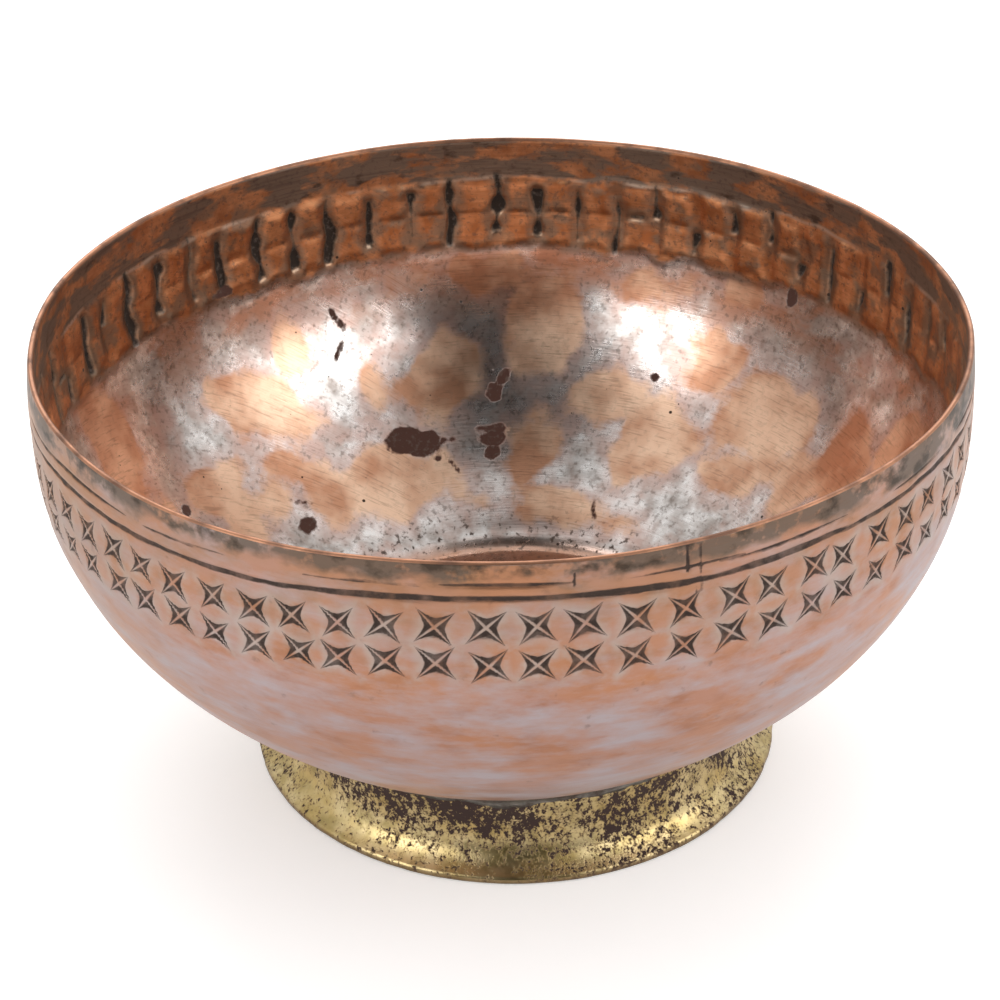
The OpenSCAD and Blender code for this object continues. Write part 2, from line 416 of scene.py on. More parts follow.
def insideMarks(points, bearing, radius, height, level):  # backs of the stars, furrows, dents and the floor
    lift, furrow, step, ledge, band = tileField(points, bearing, radius, level)
    along = alongInside(radius, height)
    dent = np.zeros(len(bearing))
    for at, high, halfWide, halfHigh, depth in wear["dents"]:
        a = np.radians(turn(bearing - at)) * radius / halfWide
        d = (along - alongWall(high)) / halfHigh
        dent -= depth * np.exp(-1.4 * (a * a + d * d))
    offset = tiles["step"] * step + tiles["lift"] * lift * step + dent
    offset -= tiles["furrowDepth"] * smooth(-0.3, 0.6, furrow) * (0.3 + 0.7 * step)
    burr = np.exp(-((band - 0.2) / 0.5) ** 2) * smooth(-0.1, 0.4, softNoise(points, 21, 34))
    offset += tiles["ridge"] * burr
    fromAxis = np.hypot(points[:, 0], points[:, 1])
    lipRadius, lipHalf, lipHeight = shell["floorLip"]
    offset += lipHeight * np.exp(-((fromAxis - lipRadius) / lipHalf) ** 2)
    offset += shell["floorCrown"] * smooth(46, 0, fromAxis)
    burnt = patchField(wear["burnt"], bearing, radius, along) + noiseSum(points, wear["burntEdge"])
    return offset, {"furrow": furrow, "ledge": ledge, "band": band, "burnt": np.clip(burnt, -9, 9),
                    "copper": wornField(points, bearing, radius, along)}


def shellRows():  # the section as rows of points, the side each is on, and how many points go round at each
    def gapOutside(where):  # rows lie close in the starred band and wide on the floor
        radius, height = where.T
        wide = np.interp(height, [14, 40, 70, 76], [2.0, 1.9, 1.3, shell["fineGap"]])
        return np.where(radius < 44, 3.0, wide)

    def gapInside(where):
        radius, height = where.T
        wide = np.interp(height, [14, 40, 66, 72], [0.9, 1.3, 1.1, 0.75])
        return np.where(radius < 42, 2.5, wide)

    outer = walk(shellOutside()[::-1], gapOutside)[::-1]
    inner = walk(shellInside()[::-1], gapInside)
    middle, half = (outer[-1] + inner[0]) / 2, np.linalg.norm(outer[-1] - inner[0]) / 2
    sweep = np.radians(np.arange(20, 180, 20))
    edge = middle + half * np.stack([np.cos(sweep), np.sin(sweep)], axis=1)
    side = np.repeat([0, 1, 2], [len(outer), len(edge), len(inner)])  # outside, edge, inside
    profile = np.vstack([outer, edge, inner])
    counts = []
    for (radius, height), which in zip(profile, side):
        share = 1 if height > (75 if which == 0 else 71) else 2 if radius > (62 if which == 0 else 44) else 4
        share = share if radius > 20 else 8 if radius > 9 else 16
        counts.append(shell["columns"] // share if radius > 0.5 else 1)
    for k in list(range(1, len(counts))) + list(range(len(counts) - 2, -1, -1)):
        for other in (k - 1, k + 1):  # no row has more than double its neighbour
            if 0 <= other < len(counts) and counts[other] > 1 and counts[k] > 2 * counts[other]:
                counts[k] = 2 * counts[other]
    return profile, side, counts


def makeShell():
    profile, side, counts = shellRows()
    bearing, radius, height, normal = spin(profile, counts)
    side = np.repeat(side, counts)
    points = place(bearing, radius, height)
    # the sheet as a whole: hammered unevenness, a rim that waves, a floor struck off the axis
    middle = points + normal * (shell["wall"] / 2 * np.where(side == 0, -1, 1))[:, None]
    hammered = noiseSum(middle, shell["hammering"]) - shell["drawnIn"]
    moved = points + place(bearing, hammered, 0 * height)
    drop = around(bearing, shell["rimDrop"]) * smooth(shell["dropFrom"], shell["height"] - 1, height)
    moved[:, 2] -= drop
    moved[:, 0] += shell["floorShift"] * (1 - smooth(48, 60, radius))
    # its two faces, each with its own marks
    offset = np.zeros(len(bearing))
    fields = {"along": alongInside(radius, height)}
    for face, marks in ((0, outsideMarks), (2, insideMarks)):
        on = side == face
        offset[on], made = marks(points[on], bearing[on], radius[on], height[on], (height - drop)[on])
        for name, values in made.items():
            fields[name] = np.full(len(bearing), -9.0)
            fields[name][on] = values
    moved += normal * offset[:, None]
    reach = np.hypot(moved[:, 0], moved[:, 1])
    moved[:, :2] *= np.minimum(1, (bellyRadius - shell["clearance"][1]) / np.maximum(reach, 1))[:, None]
    piece = skin("hammered_bowl_shell", counts, moved, False)
    for name, values in fields.items():
        keepField(piece, name, values)
    # each face takes the material of the side that its first corner is on
    first = np.empty(len(piece.data.polygons), int)
    piece.data.polygons.foreach_get("loop_start", first)
    corners = np.empty(len(piece.data.loops), int)
    piece.data.loops.foreach_get("vertex_index", corners)
    piece.data.polygons.foreach_set("material_index", side[corners[first]].astype("i"))
    return piece


foot = {
    "thickness": 1.5,
    "neckRadius": 55,
    "lip": 1.3,
    "neckStraight": 5, "neckPull": 7, "flarePull": 5, "flareAngle": 33,
    "arris": (0.3, 0.25),    # how far the lip's lower corners are rubbed off, across and up
    "columns": 720,
    "gap": 0.6,              # mm between rows
    "tuck": 0.3,             # how far the neck's top stands in the shell's underside
    "corrosion": [(11, 0.5, 51), (4, 0.4, 52), (1.6, 0.3, 53)],
    "pitDepth": (0.16, 0.08),  # outside and inside the ring
    "unevenness": (17, 0.12, 54),
    "nibbles": (4, 0.16, 55),
}
footRadius = (footHigh[0] - footLow[0]) / 2
footOffset = (footHigh[0] + footLow[0]) / 2


def undersideHeight(radius):
    outside = shellOutside()
    wall = outside[outside[:, 1] < shell["bellyHeight"]][1:]
    return np.interp(radius, wall[:, 0], wall[:, 1])


def shellAbove(x, y):  # height of the shell's underside over a place near the ring
    radius = np.hypot(x, y)
    for _ in range(8):  # the floor is off the axis, so the true radius is closed in on
        radius = np.hypot(x - shell["floorShift"] * (1 - smooth(48, 60, radius)), y)
    return undersideHeight(radius)


def footSection():  # rows of points up the outside and down the inside, then across the lip's flat base
    jointHeight = undersideHeight(foot["neckRadius"])
    arrisIn, arrisUp = foot["arris"]
    lipTop = np.array([footRadius, foot["lip"]])
    flare = math.radians(foot["flareAngle"])
    neckLow = np.array([foot["neckRadius"], jointHeight - foot["neckStraight"]])
    outline = curve([lipTop, lipTop + foot["flarePull"] * np.array([-math.cos(flare), math.sin(flare)]),
                     neckLow - [0, foot["neckPull"]], neckLow], 80)
    whole = np.vstack([[[footRadius, arrisUp]], outline, [[foot["neckRadius"], jointHeight]]])
    outer = walk(whole, lambda where: foot["gap"])
    inner = outer[::-1] - foot["thickness"] * normals(outer)[::-1]
    inner[-1] = [footRadius - foot["thickness"], arrisUp]
    base = np.array([[footRadius - foot["thickness"] + arrisIn, 0.0], [footRadius - arrisIn, 0.0]])
    side = np.repeat([0, 1, 2], [len(outer), len(inner), len(base)])  # outside, inside, base
    return np.vstack([outer, inner, base]), side, jointHeight


def makeFoot():
    profile, side, jointHeight = footSection()
    counts = [foot["columns"]] * len(profile)
    bearing, radius, height, normal = spin(profile, counts)
    side = np.repeat(side, counts)
    points = place(bearing, radius, height)
    points[:, 0] += footOffset
    ceiling = shellAbove(points[:, 0], points[:, 1]) - foot["tuck"]
    share = smooth(foot["lip"] + 2, jointHeight, height)
    points[:, 2] += share * (ceiling - undersideHeight(radius)) * (side < 2)
    # corrosion bites deepest near the neck and leaves the flare's edge clean; the front is made more eaten too,
    # painted shade for the dark that the ring's front reflects
    eatenAndFrontShade = noiseSum(points, foot["corrosion"])
    eatenAndFrontShade += 0.45 * smooth(2, 14, height) - 0.34 + 0.14 * np.cos(np.radians(bearing))
    pitting = smooth(0.15, 0.75, eatenAndFrontShade)
    pitOutside, pitInside = foot["pitDepth"]
    offset = -pitOutside * pitting * (side == 0) - pitInside * pitting * (side == 1)
    offset += noiseSum(points, [foot["unevenness"]]) * smooth(0.8, 3, height)
    nibble = noiseSum(points, [foot["nibbles"]]) * (1 - smooth(0.6, 2.2, height)) * (side < 2)
    points += normal * (offset + np.minimum(nibble, 0.02))[:, None]
    points[side == 2, 2] = 0
    ring = skin("flared_brass_foot_ring", counts, points, True)
    keepField(ring, "eatenAndFrontShade", eatenAndFrontShade)
    return ring


solder = {
    "outerLeg": 2.0, "innerLeg": 2.2, "columns": 540, "rows": 7,
    "lumps": [(6, 0.35), (2.5, 0.2)],  # size in mm and height as a share of the leg
    "sag": 0.22,
}


def makeSolder(name, radius, leg, side, seed):  # side is 1 outside the ring and -1 inside it
    columns, rows = solder["columns"], solder["rows"]
    bearing = np.repeat(np.arange(columns) * 360 / columns, rows)
    corner = place(bearing, np.full(len(bearing), radius), 0 * bearing)
    layers = [(size, height, seed + k) for k, (size, height) in enumerate(solder["lumps"])]
    lump = 1 + noiseSum(corner, layers)
    reach = leg * lump
    corner[:, 0] += footOffset
    corner[:, 2] = shellAbove(corner[:, 0], corner[:, 1])
    out = place(bearing, np.full(len(bearing), float(side)), 0 * bearing)
    up = np.array([0, 0, 1])
    # the free face sags in a shallow hollow from the ring up to the shell; the last row closes it inside
    heel = corner - 0.15 * out - reach[:, None] * up
    tip = corner + 0.7 * reach[:, None] * out
    tip[:, 2] = shellAbove(tip[:, 0], tip[:, 1]) + 0.15
    t = np.clip(np.tile(np.linspace(0, 1, rows), columns) * 1.25, 0, 1)
    closing = np.tile(np.arange(rows) == rows - 1, columns)
    sag = solder["sag"] * reach * np.sin(math.pi * t)
    points = heel * (1 - t)[:, None] + tip * t[:, None] - 0.6 * sag[:, None] * out + 0.5 * sag[:, None] * up
    points[closing] = (corner - 0.3 * out + 0.3 * up)[closing]
    rings = points.reshape(columns, rows, 3).transpose(1, 0, 2)
    if side < 0:
        rings = rings[::-1]
    return skin(name, [columns] * rows, rings.reshape(-1, 3), True)


def paint(code):  # an sRGB hex colour as linear light
    parts = [int(code[k:k + 2], 16) / 255 for k in (1, 3, 5)]
    return [c / 12.92 if c <= 0.04045 else ((c + 0.055) / 1.055) ** 2.4 for c in parts] + [1.0]


def addNode(tree, kind, *given, named=None, output=None, **settings):  # given goes to the sockets in order
    node = tree.nodes.new("ShaderNode" + kind)
    for name, value in settings.items():
        setattr(node, name, value)
    shown = [socket for socket in node.inputs if socket.enabled]
    pairs = list(zip(shown, given)) + [(node.inputs[name], value) for name, value in (named or {}).items()]
    for socket, value in pairs:
        if isinstance(value, bpy.types.NodeSocket):
            tree.links.new(value, socket)
        else:
            socket.default_value = value
    if output:
        return node.outputs[output]
    return next((socket for socket in node.outputs if socket.enabled), None)


def startMaterial(name, finish):  # the material, its own addNode, places in mm, patterns and colours
    material = bpy.data.materials.new(name)
    material.use_nodes = True
    material.node_tree.nodes.clear()
    add = partial(addNode, material.node_tree)
    inMm = add("VectorMath", add("TexCoord", output="Object"), [1 / mm] * 3, operation="MULTIPLY")
    patterns = {}
    for pattern, (size, detail, roughness, squeeze) in finish["patterns"].items():
        spread = add("VectorMath", inMm, [s / size for s in squeeze], operation="MULTIPLY")
        patterns[pattern] = add("TexNoise", spread, 1.0, detail, roughness)
    colours = {colour: paint(code) for colour, code in finish["colours"].items()}
    return material, add, inMm, SimpleNamespace(**patterns), SimpleNamespace(**colours)


def finishMaterial(add, colour, roughness, metallic, relief, depth, strength):  # depth of the relief in mm
    bump = add("Bump", named={"Height": relief, "Distance": depth * mm, "Strength": strength})
    shader = add("BsdfPrincipled", named={"Base Color": colour, "Roughness": roughness, "Metallic": metallic,
                                          "Normal": bump})
    add("OutputMaterial", shader)


even = (1, 1, 1)  # a pattern that is as wide as it is high


# Raised copper, outside: tinned once, rubbed back to satin copper by use. Pinkish metal with pale lilac grey
# smears, dirt in every punched pit and graver's line, and old grey tin under the rim.
outsideFinish = {
    "colours": {
        "copper": "#a8765a", "copperPink": "#a57d6e", "copperDeep": "#905f46", "tin": "#a89c9e",
        "rimTin": "#62574e", "smudge": "#41372f", "dirt": "#382a23", "pitHalo": "#a79c96",
        "tarnish": "#8c6a4c",
    },
    # noise patterns: size in mm, detail, roughness, and how much the pattern is squeezed along each axis
    "patterns": {
        "cloud": (24, 3.0, 0.55, (1, 1, 1.7)), "smear": (11, 5.0, 0.6, (0.75, 0.75, 2.0)),
        "mottle": (7, 4.0, 0.55, (0.8, 0.8, 1.4)), "fine": (1.7, 4.0, 0.55, (0.6, 0.6, 1.3)),
        "hair": (0.5, 2.0, 0.55, (0.04, 0.04, 1)), "wisps": (5, 5.0, 0.62, (0.5, 0.5, 1.6)),
        "haloBreaks": (4.5, 3.0, 0.55, even), "wear": (9, 4.0, 0.55, (0.6, 0.6, 1.2)),
        "fineWear": (1.9, 4.0, 0.55, even), "smudges": (4.4, 5.0, 0.55, (0.7, 0.7, 1)),
        "faintMarks": (3.4, 4.0, 0.55, even), "packing": (3.0, 4.0, 0.55, even),
    },
}


def copperOutside():
    material, add, inMm, grain, hue = startMaterial("tinned raised copper, rubbed outside", outsideFinish)
    x, _, height = add("SeparateXYZ", inMm).node.outputs
    colour = add("Mix", add("MapRange", grain.cloud, 0.36, 0.64), hue.copper, hue.copperPink,
                 data_type="RGBA")
    colour = add("Mix", add("MapRange", grain.mottle, 0.5, 0.7, 0, 0.55), colour, hue.copperDeep,
                 data_type="RGBA")
    # pale tin smears lie on the lower wall, and thicker at the sides
    atSides = add("MapRange", add("Math", x, operation="ABSOLUTE"), 50.0, 95.0)
    low = add("MapRange", height, 86.0, 76.0)
    amount = add("Math", grain.cloud, 0.35, add("Math", grain.smear, 0.65, operation="MULTIPLY"),
                 operation="MULTIPLY_ADD")
    amount = add("Math", atSides, 0.05, amount, operation="MULTIPLY_ADD")
    amount = add("Math", amount, add("Math", low, 0.06, -0.05, operation="MULTIPLY_ADD"), operation="ADD")
    tinMask = add("MapRange", add("Math", grain.fine, 0.1, amount, operation="MULTIPLY_ADD"), 0.49, 0.7, 0,
                  0.95)
    wisp = add("MapRange", grain.wisps, 0.52, 0.74, 0, 0.45)
    tinMask = add("Math", tinMask,
                  add("Math", wisp, add("MapRange", height, 100.0, 90.0), operation="MULTIPLY"),
                  operation="MAXIMUM")
    halo = add("Math", add("MapRange", add("Attribute", attribute_name="halo", output="Fac"), 2.4, 0.1),
               add("MapRange", grain.haloBreaks, 0.4, 0.62), operation="MULTIPLY")
    colour = add("Mix", tinMask, colour, hue.tin, data_type="RGBA")
    colour = add("Mix", add("Math", halo, 0.8, operation="MULTIPLY"), colour, hue.pitHalo, data_type="RGBA")
    handled = add("Math", add("MapRange", height, 76.0, 100.0), add("MapRange", grain.mottle, 0.2, 0.8),
                  operation="MULTIPLY")
    # the brown below serves as real tarnish on the upper wall and near the foot, and as painted shade on the
    # left
    colour = add("Mix", add("Math", handled, 0.7, operation="MULTIPLY"), colour, hue.tarnish,
                 data_type="RGBA")
    leftPaintedShade = add("MapRange", x, -55.0, -100.0)  # painted shade: the left side is darkened towards brown
    colour = add("Mix", add("Math", leftPaintedShade, 0.5, operation="MULTIPLY"), colour, hue.tarnish,
                 data_type="RGBA")
    # old tin under the rim, smudged dark
    rim = add("Math", grain.mottle, 7.0,
              add("Math", height, add("Math", atSides, 2.0, operation="MULTIPLY"), operation="ADD"),
              operation="MULTIPLY_ADD")
    wornThrough = add("Math", grain.wear, 0.62, add("Math", grain.fineWear, 0.38, operation="MULTIPLY"),
                      operation="MULTIPLY_ADD")
    rimTin = add("Math", add("MapRange", rim, 105.8, 108.0), add("MapRange", wornThrough, 0.4, 0.5),
                 operation="MULTIPLY")
    colour = add("Mix", add("Math", rimTin, 0.85, operation="MULTIPLY"), colour, hue.rimTin,
                 data_type="RGBA")
    smudge = add("Math", add("MapRange", rim, 106.2, 108.2), add("MapRange", grain.smudges, 0.49, 0.62),
                 operation="MULTIPLY")
    faint = add("MapRange", grain.faintMarks, 0.66, 0.76, 0, 0.3)
    colour = add("Mix",
                 add("Math", add("Math", smudge, 0.85, operation="MULTIPLY"), faint, operation="MAXIMUM"),
                 colour, hue.smudge, data_type="RGBA")
    nearFoot = add("MapRange", add("Math", grain.mottle, 8.0, height, operation="MULTIPLY_ADD"), 31.0, 20.0)
    colour = add("Mix", add("Math", nearFoot, 0.6, operation="MULTIPLY"), colour, hue.tarnish,
                 data_type="RGBA")
    # the four pits of a star, drawn from the star's own coordinates
    u = add("Math", add("Attribute", attribute_name="starU", output="Fac"), operation="ABSOLUTE")
    v = add("Math", add("Attribute", attribute_name="starV", output="Fac"), operation="ABSOLUTE")
    small = add("Math", u, v, operation="MINIMUM")
    large = add("Math", u, v, operation="MAXIMUM")
    share = add("Math", small, 1 / stars["tip"], operation="MULTIPLY")
    outline = add("Math", add("Math", share, stars["hollow"], operation="POWER"), stars["tip"] - stars["waist"],
                  stars["waist"], operation="MULTIPLY_ADD")
    ridge = add("Math", share, stars["ridge"][1] - stars["ridge"][0], stars["ridge"][0],
                operation="MULTIPLY_ADD")
    side = add("Math",
               add("Math", add("Math", large, small, operation="SUBTRACT"), 0.7071, operation="MULTIPLY"),
               ridge, operation="SUBTRACT")
    inside = add("Math", side, add("Math", outline, large, operation="SUBTRACT"), operation="MINIMUM")
    pit = add("MapRange",
              add("Math", inside, add("Math", grain.fine, 0.14, -0.07, operation="MULTIPLY_ADD"),
                  operation="ADD"), -0.09, 0.12)
    pit = add("Math", pit,
              add("MapRange", add("Attribute", attribute_name="halo", output="Fac"), 0.35, 0.15),
              operation="MULTIPLY")
    line = add("MapRange",
               add("Math", add("Attribute", attribute_name="line", output="Fac"),
                   add("Math", grain.fine, 0.5, -0.25, operation="MULTIPLY_ADD"), operation="ADD"), -0.12,
               0.12)
    dirt = add("Math", pit, line, operation="MAXIMUM")
    packed = add("Math", add("MapRange", grain.packing, 0.34, 0.56), 0.3, 0.68, operation="MULTIPLY_ADD")
    colour = add("Mix", add("Math", dirt, packed, operation="MULTIPLY"), colour, hue.dirt, data_type="RGBA")
    scuff = add("MapRange", grain.hair, 0.62, 0.75, 0, 0.1)
    colour = add("Mix", scuff, colour, hue.copperDeep, data_type="RGBA")
    greyed = add("Math", tinMask, rimTin, operation="MAXIMUM")
    roughness = add("Math", add("Mix", greyed, 0.37, 0.48),
                    add("Math", grain.hair, 0.08, operation="MULTIPLY"), operation="ADD")
    roughness = add("Mix", dirt, roughness, 0.75)
    metallic = add("Mix", dirt, 1.0, 0.45)
    relief = add("Math", add("Math", grain.hair, 0.25, operation="MULTIPLY"),
                 add("Math", grain.fine, 0.3, operation="MULTIPLY"), operation="ADD")
    relief = add("Math", relief, add("Math", dirt, 1.2, operation="MULTIPLY"), operation="SUBTRACT")
    finishMaterial(add, colour, roughness, metallic, relief, 0.12, 0.6)
    return material


# Filed copper edge: the sheet's own rim, bright and bare where hands and cloths have kept it clean.
edgeFinish = {
    "colours": {
        "copper": "#a87a60", "stain": "#77594a",
    },
    # noise patterns: size in mm, detail, roughness, and how much the pattern is squeezed along each axis
    "patterns": {
        "stains": (7, 4.0, 0.55, even), "fileMarks": (0.7, 2.0, 0.55, even),
    },
}


def copperEdge():
    material, add, _, grain, hue = startMaterial("filed copper rim edge", edgeFinish)
    stain = add("MapRange", grain.stains, 0.45, 0.65)
    colour = add("Mix", stain, hue.copper, hue.stain, data_type="RGBA")
    roughness = add("Mix", stain, 0.42, 0.55)
    finishMaterial(add, colour, roughness, 1.0, grain.fileMarks, 0.05, 0.5)
    return material


# Hot-tinned copper, inside: silvery tin wiped on by hand, worn through to copper in soft-edged islands, scoured
# with fine parallel scratches, and pitted black. Between the backs of the punched stars dirt and tin lie thick.
insideFinish = {
    "colours": {
        "tin": "#e6e2df", "tinShade": "#aca39d", "tinStain": "#6f635b", "copper": "#e5c0a4",
        "copperDeep": "#bd8b6e", "blush": "#c7a498", "tile": "#dfa376", "tileDeep": "#b67950",
        "furrow": "#32271f", "furrowEdge": "#94816f", "rimTin": "#8b7c6f", "burnt": "#573a31",
        "pitBlack": "#1e1815", "burr": "#c9b4a2", "bead": "#b5a496", "scratch": "#5d4436",
    },
    # noise patterns: size in mm, detail, roughness, and how much the pattern is squeezed along each axis
    "patterns": {
        "broad": (24, 4.0, 0.55, even), "mid": (7, 4.0, 0.55, even), "fine": (1.6, 4.0, 0.55, even),
        "speckles": (1.3, 5.0, 0.55, even), "stains": (3.4, 4.0, 0.55, even),
        "islandEdges": (4.2, 4.0, 0.55, even), "copperTone": (15, 3.0, 0.55, even),
        "pinkTone": (17, 4.0, 0.55, even), "streaky": (8, 4.0, 0.55, (0.5, 0.5, 1)),
        "brushing": (1.1, 3.0, 0.55, (0.12, 0.12, 1)), "greying": (7, 4.0, 0.55, (0.8, 0.8, 1)),
        "streak": (1.0, 3.0, 0.55, (0.07, 0.07, 1.2)), "blotches": (3.4, 4.0, 0.55, (0.6, 0.6, 1)),
        "rubbing": (8, 5.0, 0.55, (0.5, 0.5, 1.3)), "burrBreaks": (16, 2.0, 0.55, even),
        "grits": (1.3, 4.0, 0.55, even),
    },
    "scratchGap": 0.42,      # mm between scour marks, drawn about twice as coarse as they are
    "slant": 0.8,            # how far the scour marks on the left lean from the level
    "pits": (1 / 5.0, 0.55),  # how close the large and the small black pits lie, per mm
}


def copperInside():
    material, add, inMm, grain, hue = startMaterial("hot-tinned copper, scoured inside", insideFinish)
    x, y, height = add("SeparateXYZ", inMm).node.outputs
    along = add("Attribute", attribute_name="along", output="Fac")
    speckle = add("MapRange", grain.speckles, 0.54, 0.66)
    # scour marks follow the wall round; on the left they run slanting down it
    slant = add("Math", x, insideFinish["slant"], along, operation="MULTIPLY_ADD")
    drawnOut = [add("Math", way, 0.08, operation="MULTIPLY") for way in (x, y)]
    perMm = [1 / insideFinish["scratchGap"]] * 3
    scourRound, scourSlant = [
        add("TexNoise", add("VectorMath", add("CombineXYZ", *drawnOut, down), perMm, operation="MULTIPLY"),
            1.0, 2.0, 0.55) for down in (along, slant)]
    left = add("MapRange",
               add("Math", grain.broad, 16.0, add("Math", x, 8.0, operation="SUBTRACT"),
                   operation="MULTIPLY_ADD"), -12.0, -26.0)
    scour = add("Mix", left, scourRound, scourSlant)
    # tin and its stains
    tin = add("Mix", add("MapRange", grain.mid, 0.38, 0.62), hue.tin, hue.tinShade, data_type="RGBA")
    tin = add("Mix", add("MapRange", grain.stains, 0.52, 0.72, 0, 0.5), tin, hue.tinStain, data_type="RGBA")
    # islands of copper with a blush round them
    island = add("Math", add("Attribute", attribute_name="copper", output="Fac"),
                 add("Math", grain.fine, 2.4, -1.2, operation="MULTIPLY_ADD"), operation="ADD")
    island = add("Math", island, add("Math", scour, 1.6, -0.8, operation="MULTIPLY_ADD"), operation="ADD")
    bare = add("MapRange",
               add("Math", grain.islandEdges, 4.0, add("Math", island, 2.0, operation="SUBTRACT"),
                   operation="MULTIPLY_ADD"), -1.2, 1.2)
    blush = add("MapRange",
                add("Math", island, add("Math", grain.mid, 9.0, -4.5, operation="MULTIPLY_ADD"),
                    operation="ADD"), -6.5, 0.5, 0, 0.75)
    copper = add("Mix", add("MapRange", grain.copperTone, 0.4, 0.64), hue.copper, hue.copperDeep,
                 data_type="RGBA")
    pinkish = add("MapRange",
                  add("Math", grain.pinkTone, 0.7, add("Math", grain.mid, 0.3, operation="MULTIPLY"),
                      operation="MULTIPLY_ADD"), 0.5, 0.62)
    blush = add("Math", blush, add("Math", pinkish, 0.7, operation="MULTIPLY"), operation="MAXIMUM")
    colour = add("Mix", blush, tin, hue.blush, data_type="RGBA")
    colour = add("Mix", bare, colour, copper, data_type="RGBA")
    # painted shade: the sunk floor's slope is darkened towards deep copper, and grit lies in the crease round
    # it
    slope = add("Math", add("MapRange", along, 41, 45),
                add("MapRange",
                    add("Math", grain.mid, 6.0, add("Math", along, 3.0, operation="SUBTRACT"),
                        operation="MULTIPLY_ADD"), 54, 50), operation="MULTIPLY")
    colour = add("Mix", add("Math", slope, 0.8, operation="MULTIPLY"), colour, hue.copperDeep,
                 data_type="RGBA")
    grit = add("Math", add("MapRange", along, 49, 52), add("MapRange", along, 62, 53), operation="MULTIPLY")
    # the upper wall below the punched band is rubbed copper and stained tin mixed in streaks
    high = add("Math", add("MapRange", height, 60, 72), add("MapRange", grain.streaky, 0.44, 0.58),
               operation="MULTIPLY")
    colour = add("Mix", add("Math", high, 0.8, operation="MULTIPLY"), colour, hue.copperDeep,
                 data_type="RGBA")
    # punched band: copper on the backs of the stars, grey tin round the furrows
    ledge = add("Attribute", attribute_name="ledge", output="Fac")
    band = add("Attribute", attribute_name="band", output="Fac")
    furrow = add("Attribute", attribute_name="furrow", output="Fac")
    inBand = add("MapRange",
                 add("Math", ledge, add("Math", grain.fine, 1.6, -0.8, operation="MULTIPLY_ADD"),
                     operation="ADD"), -0.6, 0.8)
    tile = add("Mix", add("MapRange", grain.mid, 0.4, 0.62), hue.tile, hue.tileDeep, data_type="RGBA")
    wander = add("Math", add("Math", grain.fine, 1.6, -0.8, operation="MULTIPLY_ADD"),
                 add("Math", grain.mid, 4.0, -2.0, operation="MULTIPLY_ADD"), operation="ADD")
    edgeNear = add("MapRange", add("Math", furrow, wander, operation="ADD"), -2.7, -1.0)
    tile = add("Mix", add("Math", edgeNear, 0.85, operation="MULTIPLY"), tile, hue.furrowEdge,
               data_type="RGBA")
    brushed = add("MapRange", grain.brushing, 0.45, 0.7)
    tile = add("Mix", add("Math", brushed, 0.45, operation="MULTIPLY"), tile, hue.tileDeep,
               data_type="RGBA")
    greyTile = add("MapRange", grain.greying, 0.53, 0.62, 0, 0.8)
    tile = add("Mix", greyTile, tile, hue.furrowEdge, data_type="RGBA")
    colour = add("Mix", inBand, colour, tile, data_type="RGBA")
    rimBand = add("MapRange",
                  add("Math", band, add("Math", grain.mid, 5.0, -2.5, operation="MULTIPLY_ADD"),
                      operation="ADD"), -0.4, 0.7)
    rimTin = add("Mix", add("MapRange", grain.streak, 0.5, 0.66, 0, 0.6), hue.rimTin, hue.tinStain,
                 data_type="RGBA")
    blotch = add("MapRange", grain.blotches, 0.6, 0.7, 0, 0.6)
    rimTin = add("Mix", blotch, rimTin, hue.furrow, data_type="RGBA")
    rubbedOff = add("MapRange", grain.rubbing, 0.52, 0.45)
    rimTin = add("Mix", add("Math", rubbedOff, 0.85, operation="MULTIPLY"), rimTin, tile, data_type="RGBA")
    colour = add("Mix", rimBand, colour, rimTin, data_type="RGBA")
    burr = add("Math", add("MapRange", band, -0.5, 0.1), add("MapRange", band, 0.9, 0.3),
               operation="MULTIPLY")
    burr = add("Math", burr, add("MapRange", grain.burrBreaks, 0.48, 0.56), operation="MULTIPLY")
    colour = add("Mix", add("Math", burr, 0.7, operation="MULTIPLY"), colour, hue.burr, data_type="RGBA")
    bead = add("Math", add("MapRange", ledge, -1.6, -0.2), add("MapRange", ledge, 1.4, 0.2),
               operation="MULTIPLY")
    bead = add("Math", bead, add("MapRange", grain.mid, 0.4, 0.6), operation="MULTIPLY")
    colour = add("Mix", add("Math", bead, 0.9, operation="MULTIPLY"), colour, hue.bead, data_type="RGBA")
    dark = add("MapRange",
               add("Math", furrow, add("Math", grain.fine, 1.0, -0.5, operation="MULTIPLY_ADD"),
                   operation="ADD"), -0.25, 0.35)
    colour = add("Mix", dark, colour, hue.furrow, data_type="RGBA")
